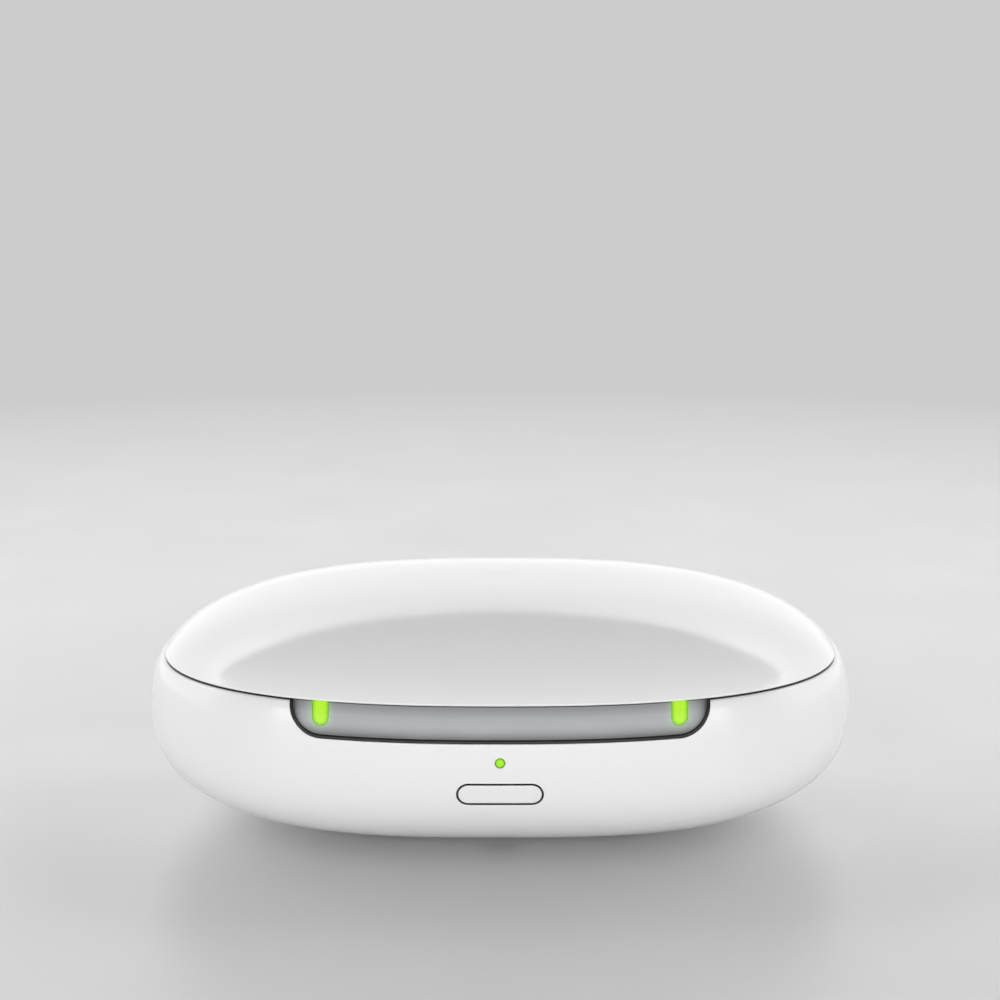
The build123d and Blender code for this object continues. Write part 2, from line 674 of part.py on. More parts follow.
def make_board_header():
    width, depth, height = HEADER_SIZE
    back = FRONT_BOARD_FACE + FRONT_BOARD_THICK
    return slab((-width / 2, width / 2), (back, back + depth), (BOARD_TOP, BOARD_TOP + height))


def make_window_gasket():
    low = WINDOW_Z - PAST
    band = pebble(GASKET_SET_BACK, low, WINDOW_TOP) - pebble(WALL, low - PAST, WINDOW_TOP + PAST)
    return band & window_prism(-WINDOW_FIT) - window_prism(-GASKET_WIDTH)


def make_front_window():
    low = WINDOW_Z - WINDOW_FLANGE - PAST
    core = pebble(WINDOW_BACK, low - PAST, WINDOW_TOP + PAST)
    pane = pebble(WINDOW_SET_BACK, low, WINDOW_TOP) & window_prism(-GASKET_WIDTH - WINDOW_FIT)
    flange = pebble(WALL + WINDOW_FIT, low, WINDOW_TOP) & window_prism(WINDOW_FLANGE)
    window = pane + flange - core
    for x in (-CRADLE_X, CRADLE_X):
        window -= along_depth(light_outline(x, WINDOW_FIT), -HALF_DEPTH, 0)
    return window


def pipe_back_y():
    """Depth at which a light pipe ends behind the window before it steps down."""
    return PIPE_BACK - half_depth_at(CRADLE_X, DECK_TOP, WINDOW_BACK)


def make_light_pipe(x):
    front = pebble(WINDOW_SET_BACK, LIGHT_Z - PIPE_DROP, WINDOW_TOP)
    back = pipe_back_y()
    head = along_depth(light_outline(x, 0), -HALF_DEPTH, back) & front
    half = LIGHT_WIDTH / 2
    levels = (DECK_Z - FRONT_BOARD_GAP - PIPE_DROP, DECK_Z - FRONT_BOARD_GAP)
    led_end = FRONT_BOARD_FACE - LED_SIZE[1] - LED_GAP
    step = slab((x - half, x + half), (back - PIPE_BACK / 2, led_end), levels)
    riser = slab((x - half, x + half), (back - PIPE_BACK / 2, back), (levels[0], WINDOW_TOP))
    return head + step + riser


def make_status_lens():
    front = pebble(BUTTON_SET_BACK, STATUS_Z - 2 * STATUS_RADIUS, STATUS_Z + 2 * STATUS_RADIUS)
    led_end = FRONT_BOARD_FACE - LED_SIZE[1] - LED_GAP
    return along_depth(Pos(0, STATUS_Z) * Circle(STATUS_RADIUS), -HALF_DEPTH, led_end) & front


def button_back():
    """Depth of the back of the button's flange."""
    share = share_at(BUTTON_Z, WALL)
    return BUTTON_CLEARANCE + BUTTON_FLANGE_THICK - (HALF_DEPTH - WALL) * share


def make_front_button():
    low = BUTTON_Z - BUTTON_HEIGHT - BUTTON_FLANGE
    high = BUTTON_Z + BUTTON_HEIGHT + BUTTON_FLANGE
    back = button_back()
    cap = level_slot(BUTTON_WIDTH, BUTTON_HEIGHT, 0, BUTTON_Z, -HALF_DEPTH, back)
    cap &= pebble(BUTTON_SET_BACK, low, high)
    flange = (BUTTON_WIDTH + 2 * BUTTON_FLANGE, BUTTON_HEIGHT + 2 * BUTTON_FLANGE)
    rim = level_slot(*flange, 0, BUTTON_Z, -HALF_DEPTH, back)
    rim &= pebble(WALL + BUTTON_CLEARANCE, low, high)
    stem_end = SWITCH_FACE - PLUNGER_SHOWN
    stem = along_depth(Pos(0, BUTTON_Z) * Circle(STEM_RADIUS), back, stem_end)
    return cap + rim + stem


def make_switch_plunger():
    tip = SWITCH_FACE - PLUNGER_SHOWN
    return along_depth(Pos(0, BUTTON_Z) * Circle(PLUNGER_RADIUS), tip, tip + PLUNGER_LENGTH)


def make_button_switch():
    sides = ((-SWITCH_WIDTH / 2, SWITCH_WIDTH / 2), (SWITCH_FACE, FRONT_BOARD_FACE))
    body = slab(*sides, (BUTTON_Z - SWITCH_HEIGHT / 2, BUTTON_Z + SWITCH_HEIGHT / 2))
    deepest = SWITCH_FACE - PLUNGER_SHOWN + PLUNGER_LENGTH + BUTTON_TRAVEL + BUTTON_CLEARANCE
    bore = Pos(0, BUTTON_Z) * Circle(PLUNGER_RADIUS + PLUNGER_FIT)
    return body - along_depth(bore, SWITCH_FACE - PAST, deepest)


def usb_mouth():
    """Depth of the inlet's mouth, sunk in the back wall."""
    return HALF_DEPTH * share_at(USB_Z, 0) - USB_SET_BACK


def make_usb_shell():
    mouth = usb_mouth()
    shell = level_slot(USB_WIDTH, USB_HEIGHT, 0, USB_Z, mouth - USB_LENGTH, mouth)
    inside = (USB_WIDTH - 2 * USB_SKIN, USB_HEIGHT - 2 * USB_SKIN)
    return shell - level_slot(*inside, 0, USB_Z, mouth - USB_LENGTH + USB_ROOT, mouth + PAST)


def make_usb_tongue():
    root = usb_mouth() - USB_LENGTH + USB_ROOT
    sides = ((-TONGUE_WIDTH / 2, TONGUE_WIDTH / 2), (root, root + TONGUE_LENGTH))
    return slab(*sides, (USB_Z - TONGUE_THICK / 2, USB_Z + TONGUE_THICK / 2))


def make_base_magnets():
    top = DECK_TOP - MAGNET_SKIN
    return group(post(x, y, top - MAGNET_THICK, top, MAGNET_RADIUS) for x, y in magnet_places())


def make_lid_magnets():
    top = LID_LINER_Z + MAGNET_THICK + MAGNET_FIT
    return group(post(x, y, top - MAGNET_THICK, top, MAGNET_RADIUS) for x, y in magnet_places())


def bumper_places():
    inset = (LID_LINER_OUTER + LID_LINER_INNER) / 2
    y = -half_depth_at(BUMPER_X, LID_LINER_Z, inset)
    return [(-BUMPER_X, y), (BUMPER_X, y)]


def make_lid_bumpers():
    top = LID_LINER_Z - BUMPER_GAP
    bumpers = []
    for x, y in bumper_places():
        stud = post(x, y, DECK_TOP, top, BUMPER_RADIUS)
        bumpers.append(fillet(stud.edges().group_by(Axis.Z)[-1], BUMPER_RADIUS / 2))
    return group(bumpers)


def knuckle(low, high):
    barrel = rod_across(low, high, HINGE_Y, HINGE_Z, BARREL_RADIUS)
    return barrel - rod_across(low - PAST, high + PAST, HINGE_Y, HINGE_Z, PIN_RADIUS + PIN_FIT)


def make_base_hinge_bracket():
    leaf_top = DECK_TOP + BASE_LEAF_THICK
    leaf = slab((-HINGE_HALF_WIDTH, HINGE_HALF_WIDTH), (LEAF_Y, HINGE_Y), (DECK_TOP, leaf_top))
    gap = KNUCKLE_HALF_WIDTH + KNUCKLE_GAP
    through = (DECK_TOP - PAST, leaf_top + PAST)
    leaf -= slab((-gap, gap), (BARREL_CLEAR_Y, HINGE_Y + PAST), through)
    leaf -= rod_across(-HINGE_NOTCH, HINGE_NOTCH, HINGE_Y, HINGE_Z, PIN_RADIUS + PIN_FIT)
    for x in (-BASE_SCREW_X, BASE_SCREW_X):
        leaf -= post(x, HINGE_SCREW_Y, *through, HINGE_SCREW_RADIUS + SEAT_GAP)
        head_seat = leaf_top - HINGE_HEAD_HEIGHT
        leaf -= post(x, HINGE_SCREW_Y, head_seat, leaf_top + PAST, HINGE_HEAD_RADIUS + SEAT_GAP)
    return leaf + knuckle(gap, HINGE_HALF_WIDTH) + knuckle(-HINGE_HALF_WIDTH, -gap)


def make_base_hinge_screws():
    seat = DECK_TOP + BASE_LEAF_THICK - HINGE_HEAD_HEIGHT
    grip = seat - DECK_TOP + HINGE_SCREW_GRIP
    sizes = (HINGE_SCREW_RADIUS, grip, HINGE_HEAD_RADIUS, HINGE_HEAD_HEIGHT)
    return group(screw(x, HINGE_SCREW_Y, seat, -1, *sizes) for x in (-BASE_SCREW_X, BASE_SCREW_X))


def make_hinge_pin():
    return rod_across(-HINGE_HALF_WIDTH, HINGE_HALF_WIDTH, HINGE_Y, HINGE_Z, PIN_RADIUS)


def make_lid_hinge_bracket():
    half = KNUCKLE_HALF_WIDTH
    low = LID_LEAF_Z - PAST
    leaf = slab((-half, half), (LEAF_Y, HINGE_Y), (LID_LEAF_Z, LID_LEAF_Z + LEAF_THICK))
    leaf -= rod_across(-half, half, HINGE_Y, HINGE_Z, PIN_RADIUS + PIN_FIT)
    for x in (-LID_SCREW_X, LID_SCREW_X):
        leaf -= post(x, HINGE_SCREW_Y, low, LID_LEAF_Z + BEYOND, HINGE_SCREW_RADIUS + SEAT_GAP)
        head_seat = LID_LEAF_Z + HINGE_HEAD_HEIGHT
        leaf -= post(x, HINGE_SCREW_Y, low, head_seat, HINGE_HEAD_RADIUS + SEAT_GAP)
    return leaf + knuckle(-half, half)


def make_lid_hinge_screws():
    seat = LID_LEAF_Z + HINGE_HEAD_HEIGHT
    grip = LEAF_THICK - HINGE_HEAD_HEIGHT + HINGE_SCREW_GRIP
    sizes = (HINGE_SCREW_RADIUS, grip, HINGE_HEAD_RADIUS, HINGE_HEAD_HEIGHT)
    return group(screw(x, HINGE_SCREW_Y, seat, 1, *sizes) for x in (-LID_SCREW_X, LID_SCREW_X))


def make_lid_shell():
    shell = bevelled(pebble(0, LID_EDGE_Z), 0) - pebble(WALL, LID_EDGE_Z - PAST)
    roof = pebble(WALL / 2, LID_EDGE_Z)
    boss_low = LID_LEAF_Z + LEAF_THICK
    hole_top = boss_low + HINGE_SCREW_GRIP + SEAT_GAP
    for x in (-LID_SCREW_X, LID_SCREW_X):
        boss_high = crown_z(x, HINGE_SCREW_Y, WALL / 2) + BEYOND
        shell += post(x, HINGE_SCREW_Y, boss_low, boss_high, HINGE_BOSS_RADIUS) & roof
        shell -= post(x, HINGE_SCREW_Y, boss_low - PAST, hole_top, HINGE_SCREW_RADIUS + SEAT_GAP)
    notch_top = HINGE_Z + BARREL_RADIUS + BARREL_CLEARANCE
    front = HINGE_SCREW_Y + HINGE_BOSS_RADIUS + KNUCKLE_GAP
    return shell - hinge_notch(front, LID_EDGE_Z - PAST, notch_top)


def make_lid_liner():
    outer = pebble(LID_LINER_OUTER, LID_LINER_Z)
    liner = outer - pebble(LID_LINER_INNER, LID_LINER_Z - PAST)
    for x, y in magnet_places():
        top = LID_LINER_Z + MAGNET_THICK + LID_LINER_THICK
        liner += post(x, y, LID_LINER_Z, top, MAGNET_RADIUS + MAGNET_CUP) & outer
        magnet_top = LID_LINER_Z + MAGNET_THICK + 2 * MAGNET_FIT
        liner -= post(x, y, LID_LINER_Z - PAST, magnet_top, MAGNET_RADIUS + MAGNET_FIT)
    half = KNUCKLE_HALF_WIDTH + KNUCKLE_GAP
    leaf_top = LID_LEAF_Z + LEAF_THICK + SEAT_GAP
    liner -= slab((-half, half), (LEAF_Y - KNUCKLE_GAP, HALF_DEPTH), (LID_LINER_Z - PAST, leaf_top))
    for x in (-LID_SCREW_X, LID_SCREW_X):
        boss = (LID_LINER_Z, WIDEST_Z + CROWN_HEIGHT, HINGE_BOSS_RADIUS + LINER_GAP)
        liner -= post(x, HINGE_SCREW_Y, *boss)
    return liner


def make_hold_down_pad(x):
    inset = LID_LINER_INNER + PAD_GAP
    low = crown_z(x, 0, inset) - PAD_DROP
    pad = Pos(x, 0, 0) * upright_slot(PAD_WIDTH, PAD_LENGTH, low, WIDEST_Z + CROWN_HEIGHT)
    return pad & pebble(inset, LID_EDGE_Z)


NODES = {
    "base_shell": make_base_shell,
    "bottom_cover": make_bottom_cover,
    "bottom_screws": make_bottom_screws,
    "rubber_feet": make_rubber_feet,
    "charging_deck": make_charging_deck,
    "cradle_liner_left": lambda: make_cradle_liner(-CRADLE_X),
    "cradle_liner_right": lambda: make_cradle_liner(CRADLE_X),
    "charging_coil_left": lambda: make_charging_coil(-CRADLE_X),
    "charging_coil_right": lambda: make_charging_coil(CRADLE_X),
    "ferrite_shields": make_ferrite_shields,
    "main_board": make_main_board,
    "board_chips": make_board_chips,
    "board_screws": make_board_screws,
    "board_header": make_board_header,
    "front_board": make_front_board,
    "light_leds": make_light_leds,
    "button_switch": make_button_switch,
    "window_gasket": make_window_gasket,
    "front_window": make_front_window,
    "light_pipe_left": lambda: make_light_pipe(-CRADLE_X),
    "light_pipe_right": lambda: make_light_pipe(CRADLE_X),
    "status_lens": make_status_lens,
    "battery": make_battery,
    "battery_tape": make_battery_tape,
    "battery_lead": make_battery_lead,
    "battery_connector": make_battery_connector,
    "usb_c_shell": make_usb_shell,
    "usb_c_tongue": make_usb_tongue,
    "base_magnets": make_base_magnets,
    "base_hinge_bracket": make_base_hinge_bracket,
    "base_hinge_screws": make_base_hinge_screws,
    "hinge_pin": make_hinge_pin,
    "lid_bumpers": make_lid_bumpers,
    "lid_shell": make_lid_shell,
    "lid_liner": make_lid_liner,
    "hold_down_pad_left": lambda: make_hold_down_pad(-CRADLE_X),
    "hold_down_pad_right": lambda: make_hold_down_pad(CRADLE_X),
    "lid_magnets": make_lid_magnets,
    "lid_hinge_bracket": make_lid_hinge_bracket,
    "lid_hinge_screws": make_lid_hinge_screws,
    "front_button": make_front_button,
    "switch_plunger": make_switch_plunger,
}

os.makedirs("parts", exist_ok=True)
for name, make in NODES.items():
    export_step(make(), f"parts/{name}.step")
    print(name)
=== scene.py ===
import math

import bpy
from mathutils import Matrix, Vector


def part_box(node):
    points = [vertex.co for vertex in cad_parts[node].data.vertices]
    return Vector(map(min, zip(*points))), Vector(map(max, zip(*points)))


MM = 0.001

# Camera at the photograph's viewing angle, in millimetres and degrees
CAMERA_BACK = 429.2
CAMERA_HEIGHT = 137.1
CAMERA_PITCH = 11.45
CAMERA_LENS = 100.5

# Floor and backdrop: greys as they look, distances in metres
FLOOR_REACH = 6.0
FLOOR_GREY = 0.87
BACKDROP_GREY = 0.8
FADE_START = 0.16  # the floor blends into the backdrop between these distances
FADE_END = 0.42

# Light: radiances, sizes in metres, angles in degrees with azimuth 0 at the front
WORLD_LEVEL = 0.14
SOFT_BOXES = {  # azimuth, elevation, distance, width, height, radiance
    "front": (0, 11, 1.0, 0.9, 0.36, 4.05),
    "front_right": (40, 11, 1.0, 0.45, 0.36, 3.2),
    "front_left": (-40, 11, 1.0, 0.45, 0.36, 3.2),
}
WALL_DISTANCE = 1.15
WALL_HALF_TURN = 108  # curved light wall on both sides of straight back
WALL_LOW = 0
WALL_HIGH = 35
WALL_ARCH = 15.5  # how much higher the wall stands on each side of the middle
WALL_ARCH_SPAN = 82  # the arch on each side ends this far from the middle
WALL_LEVEL = 1.34
WALL_LEVEL_RISE = 0.006  # radiance gained per degree away from the middle
WALL_TOP_GLOW = 3.2  # extra radiance of the top edge beside the middle
WALL_TOP_GLOW_POWER = 4  # how closely that extra keeps to the top
WALL_GLOW_TURN = 40  # angle at which the top edge is at its brightest
WALL_FADE = 88  # radiance falls off between this angle and the wall's ends
WALL_FEATHER = 0.08  # share of its height over which the top edge fades out
WALL_COLUMNS = 60
WALL_ROWS = 20

# Places on the front, in millimetres
PIPE_X = 26.4
PIPE_HALF_WIDTH = 1.2
PIPE_END_Z = 24.5  # centre of a light's round lower end
PANEL_HALF_WIDTH = 30.56
PANEL_FOOT_Z = 22.02
PANEL_TOP_Z = 26.56

# Painted shade and painted glow on the window panel, and the lights' colours: widths in
# millimetres, powers shape the fall-off
FRAME_SHADE = 2.1  # painted shade along the sides and the foot
FRAME_SHADE_POWER = 1.7
FRAME_CORNER = 1.5
# painted shadow of the lid's edge across the panel's top
TOP_SHADE = 1.5
TOP_SHADE_AMOUNT = 0.4
PIPE_GLOW = 1.5  # painted green glow on the panel beside a light
PIPE_GLOW_POWER = 2.0
PIPE_GLOW_STRENGTH = 0.22
LIGHT_STRENGTH = 0.8
LIGHT_RIM_POWER = 2.2
PIPE_RIM = 0.75
STATUS_RIM = 0.45

# Cosine between the true and the rounded direction of a surface at a sharp edge, where the painted
# edge highlight is in full and where it ends
EDGE_FULL = 0.95
EDGE_NONE = 0.998


def linear(value):
    """Linear light for a value written 0 to 1 as it looks on screen."""
    return value / 12.92 if value <= 0.04045 else ((value + 0.055) / 1.055) ** 2.4


def grey(value):
    return (linear(value),) * 3 + (1.0,)


def colour(red, green, blue):
    return (linear(red / 255), linear(green / 255), linear(blue / 255), 1.0)


class Finish:
    """A procedural material: a Principled shader and the nodes that feed it."""

    def __init__(self, name, base, roughness, **settings):
        self.material = bpy.data.materials.new(name)
        self.material.use_nodes = True
        self.tree = self.material.node_tree
        self.shader = self.tree.nodes["Principled BSDF"]
        self.base = base
        self.shader.inputs["Base Color"].default_value = base
        self.shader.inputs["Roughness"].default_value = roughness
        for key, value in settings.items():
            self.shader.inputs[key.replace("_", " ")].default_value = value
        self.place = self.node("ShaderNodeTexCoord").outputs["Object"]

    def node(self, kind, **settings):
        made = self.tree.nodes.new(kind)
        for key, value in settings.items():
            setattr(made, key, value)
        return made

    def link(self, source, target):
        self.tree.links.new(source, target)

    def math(self, operation, first, second=0.0, third=None):
        """Math node on sockets or numbers."""
        made = self.node("ShaderNodeMath", operation=operation)
        for index, value in enumerate((first, second, third)):
            if value is None:
                continue
            if isinstance(value, (int, float)):
                made.inputs[index].default_value = value
            else:
                self.link(value, made.inputs[index])
        return made.outputs[0]

    def noise(self, size, detail=2.0, stretch=(1, 1, 1)):
        """Noise whose blotches are about size millimetres across."""
        mapping = self.node("ShaderNodeMapping")
        mapping.inputs["Scale"].default_value = stretch
        self.link(self.place, mapping.inputs["Vector"])
        made = self.node("ShaderNodeTexNoise")
        made.inputs["Scale"].default_value = 1 / (size * MM)
        made.inputs["Detail"].default_value = detail
        self.link(mapping.outputs["Vector"], made.inputs["Vector"])
        return made.outputs["Fac"]

    def spread(self, value, low, high, from_low=0.3, from_high=0.7):
        """Maps a texture's middle range to a range of values."""
        made = self.node("ShaderNodeMapRange")
        made.inputs["From Min"].default_value = from_low
        made.inputs["From Max"].default_value = from_high
        made.inputs["To Min"].default_value = low
        made.inputs["To Max"].default_value = high
        self.link(value, made.inputs["Value"])
        return made.outputs["Result"]

    def vary_roughness(self, size, low, high, **noise):
        """Roughness between two values, in blotches."""
        value = self.spread(self.noise(size, **noise), low, high)
        self.link(value, self.shader.inputs["Roughness"])
        return self

    def vary_colour(self, size, other, amount, **noise):
        """Mixes another colour into the base in blotches."""
        self.tint(self.spread(self.noise(size, **noise), 0.0, amount), other)
        return self

    def tint(self, factor, other):
        """Mixes another colour over what feeds the base colour so far."""
        mix = self.node("ShaderNodeMix", data_type="RGBA")
        socket = self.shader.inputs["Base Color"]
        if socket.is_linked:
            self.link(socket.links[0].from_socket, mix.inputs["A"])
        else:
            mix.inputs["A"].default_value = self.base
        mix.inputs["B"].default_value = other
        self.link(factor, mix.inputs["Factor"])
        self.link(mix.outputs["Result"], socket)

    def bump(self, height, depth):
        """Relief from a height value, depth in millimetres."""
        made = self.node("ShaderNodeBump")
        made.inputs["Distance"].default_value = depth * MM
        self.link(height, made.inputs["Height"])
        socket = self.shader.inputs["Normal"]
        if socket.is_linked:
            self.link(socket.links[0].from_socket, made.inputs["Normal"])
        self.link(made.outputs["Normal"], socket)
        return self

    def grain(self, size, depth, **noise):
        """Relief of noise, both sizes in millimetres."""
        return self.bump(self.noise(size, **noise), depth)

    def edge_normal(self, radius):
        """The surface's direction as if its edges were rounded."""
        made = self.node("ShaderNodeBevel", samples=6)
        made.inputs["Radius"].default_value = radius * MM
        return made.outputs["Normal"]

    def soft_edges(self, radius):
        """Rounds the look of sharp edges by a radius in millimetres."""
        self.link(self.edge_normal(radius), self.shader.inputs["Normal"])
        return self

    def paint_edge_highlight(self, radius, other):
        """Painted highlight: another colour along sharp edges, as wide as a radius in millimetres.
        """
        turned = self.node("ShaderNodeVectorMath", operation="DOT_PRODUCT")
        self.link(self.edge_normal(radius), turned.inputs[0])
        self.link(self.node("ShaderNodeNewGeometry").outputs["Normal"], turned.inputs[1])
        edge = self.spread(turned.outputs["Value"], 1.0, 0.0, EDGE_FULL, EDGE_NONE)
        self.tint(edge, other)
        return self

    def paint_gap_shade(self, reach, shut, open_share, other):
        """Painted shade: another colour where surfaces within reach millimetres hide the
        surroundings:
        in full at the shut share of open surroundings, and none from the open share on."""
        made = self.node("ShaderNodeAmbientOcclusion", samples=8)
        made.inputs["Distance"].default_value = reach * MM
        self.tint(self.spread(made.outputs["AO"], 1.0, 0.0, shut, open_share), other)
        return self

    def axis_values(self):
        """The place on the object as X, Y and Z sockets in metres."""
        split = self.node("ShaderNodeSeparateXYZ")
        self.link(self.place, split.inputs[0])
        return split.outputs["X"], split.outputs["Y"], split.outputs["Z"]


def white_gloss():
    """Polished white shell, with a painted highlight along its sharp edges and painted shade deep
    in its gaps.
    """
    finish = Finish("white_gloss", grey(0.945), roughness=0.13, IOR=1.5)
    # painted highlight: lighter colour along the sharp edges
    finish.paint_edge_highlight(radius=0.35, other=grey(1.0))
    # painted shade: near black deep in the gaps between parts
    finish.paint_gap_shade(reach=0.9, shut=0.2, open_share=0.45, other=grey(0.02))
    finish.vary_roughness(size=9.0, low=0.11, high=0.16, detail=4.0)
    finish.soft_edges(radius=0.32)
    return finish.grain(size=1.6, depth=0.0012, detail=1.0)


def moulded(name, base, roughness, grain_size=0.35, grain_depth=0.012):
    """Matte moulded plastic with a fine spark-eroded texture."""
    finish = Finish(name, base, roughness)
    finish.vary_roughness(size=3.0, low=roughness - 0.06, high=roughness + 0.06)
    finish.soft_edges(radius=0.12)
    return finish.grain(grain_size, grain_depth, detail=3.0)


def soft_rubber(name, base):
    """Silicone or rubber with a slight sheen."""
    finish = Finish(name, base, roughness=0.62, Sheen_Weight=0.15)
    finish.vary_roughness(size=2.0, low=0.55, high=0.7)
    finish.vary_colour(size=4.0, other=grey(0.4), amount=0.08)
    finish.soft_edges(radius=0.15)
    return finish.grain(size=0.25, depth=0.01)


def metal(name, base, roughness, stretch=(1, 1, 1), grain_size=0.15):
    """Plated or brushed metal, its lines along the axis with the least stretch."""
    finish = Finish(name, base, roughness, Metallic=1.0)
    finish.vary_roughness(size=1.2, low=roughness - 0.07, high=roughness + 0.1, stretch=stretch)
    finish.soft_edges(radius=0.08)
    return finish.grain(grain_size, depth=0.004, stretch=stretch, detail=3.0)


def circuit_board():
    """Green solder mask with raised copper tracks under it."""
    track_spacing = 4 * MM
    track_share = 0.035
    finish = Finish("board_green", colour(24, 92, 58), roughness=0.32)
    bricks = finish.node("ShaderNodeTexBrick")
    bricks.inputs["Scale"].default_value = 1 / track_spacing
    bricks.inputs["Mortar Size"].default_value = track_share
    finish.link(finish.place, bricks.inputs["Vector"])
    finish.tint(bricks.outputs["Fac"], colour(44, 128, 80))
    finish.vary_roughness(size=2.0, low=0.25, high=0.4)
    return finish.bump(bricks.outputs["Fac"], depth=0.03)


def battery_foil():
    """Crimped silver pouch film."""
    finish = Finish("battery_foil", colour(186, 190, 196), roughness=0.3, Metallic=0.85)
    finish.vary_roughness(size=6.0, low=0.22, high=0.42, detail=4.0)
    return finish.grain(size=3.5, depth=0.09, detail=3.0)


def window_panel():
    """Smoked satin window, with painted shade along its frame and under its top, and a painted
    green glow around the light pipes.
    """
    finish = Finish("window_grey", colour(172, 174, 177), roughness=0.34, IOR=1.46)
    x, _, z = finish.axis_values()
    # painted shade: the panel turns greyer towards its ends and its foot
    to_end = finish.math("SUBTRACT", PANEL_HALF_WIDTH * MM, finish.math("ABSOLUTE", x))
    to_foot = finish.math("SUBTRACT", z, PANEL_FOOT_Z * MM)
    to_edge = finish.math("SMOOTH_MIN", to_end, to_foot, FRAME_CORNER * MM)
    painted_frame_shade = finish.spread(to_edge, 1.0, 0.0, 0.0, FRAME_SHADE * MM)
    finish.tint(finish.math("POWER", painted_frame_shade, FRAME_SHADE_POWER), grey(0.4))
    # painted shadow: greyer just under the panel's top, where the lid's edge overhangs
    to_top = finish.math("SUBTRACT", PANEL_TOP_Z * MM, z)
    finish.tint(finish.spread(to_top, TOP_SHADE_AMOUNT, 0.0, 0.0, TOP_SHADE * MM), grey(0.3))
    finish.vary_roughness(size=4.0, low=0.3, high=0.4)
    finish.grain(size=0.2, depth=0.004)
    # painted glow: green emission on the panel beside the light pipes, standing in for their light
    glow = finish.spread(pipe_distance(finish, x, z), 1.0, 0.0, 0.0, PIPE_GLOW * MM)
    glow = finish.math("POWER", glow, PIPE_GLOW_POWER)
    glow = finish.math("MULTIPLY", glow, PIPE_GLOW_STRENGTH)
    finish.shader.inputs["Emission Color"].default_value = colour(120, 205, 40)
    finish.link(glow, finish.shader.inputs["Emission Strength"])
    return finish


def length(finish, across, up):
    """Length of a line with these two legs, all sockets."""
    squares = [finish.math("POWER", leg, 2.0) for leg in (across, up)]
    return finish.math("SQRT", finish.math("ADD", *squares))


def pipe_distance(finish, x, z):
    """Distance from the outline of the nearer light pipe, round at its lower end."""
    from_axis = finish.math("SUBTRACT", finish.math("ABSOLUTE", x), PIPE_X * MM)
    across = finish.math("ABSOLUTE", from_axis)
    below = finish.math("MAXIMUM", finish.math("SUBTRACT", PIPE_END_Z * MM, z), 0.0)
    return finish.math("SUBTRACT", length(finish, across, below), PIPE_HALF_WIDTH * MM)


def green_light(name, distance, core, edge, rim):
    """Lit lens: a bright core that turns to a deeper green over a rim in millimetres."""
    finish = Finish(name, colour(50, 110, 12), roughness=0.3, Specular_IOR_Level=0.2)
    inward = finish.spread(distance(finish), 0.0, 1.0, -rim * MM, 0.0)
    mix = finish.node("ShaderNodeMix", data_type="RGBA")
    mix.inputs["A"].default_value = core
    mix.inputs["B"].default_value = edge
    finish.link(finish.math("POWER", inward, LIGHT_RIM_POWER), mix.inputs["Factor"])
    finish.link(mix.outputs["Result"], finish.shader.inputs["Emission Color"])
    finish.shader.inputs["Emission Strength"].default_value = LIGHT_STRENGTH
    return finish.vary_roughness(size=0.8, low=0.2, high=0.3)


def pipe_light():
    def distance(finish):
        x, _, z = finish.axis_values()
        return pipe_distance(finish, x, z)

    core, edge = colour(196, 248, 60), colour(104, 178, 10)
    return green_light("green_pipe", distance, core, edge, PIPE_RIM)


def status_light():
    def distance(finish):
        x, _, z = finish.axis_values()
        low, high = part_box("status_lens")
        up = finish.math("SUBTRACT", z, (low.z + high.z) / 2)
        return finish.math("SUBTRACT", length(finish, x, up), (high.z - low.z) / 2)

    core, edge = colour(182, 246, 45), colour(34, 90, 6)
    return green_light("green_status", distance, core, edge, STATUS_RIM)


def paint(node, finish):
    """Gives a whole CAD node one material."""
    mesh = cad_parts[node].data
    mesh.materials.clear()
    mesh.materials.append(finish.material)


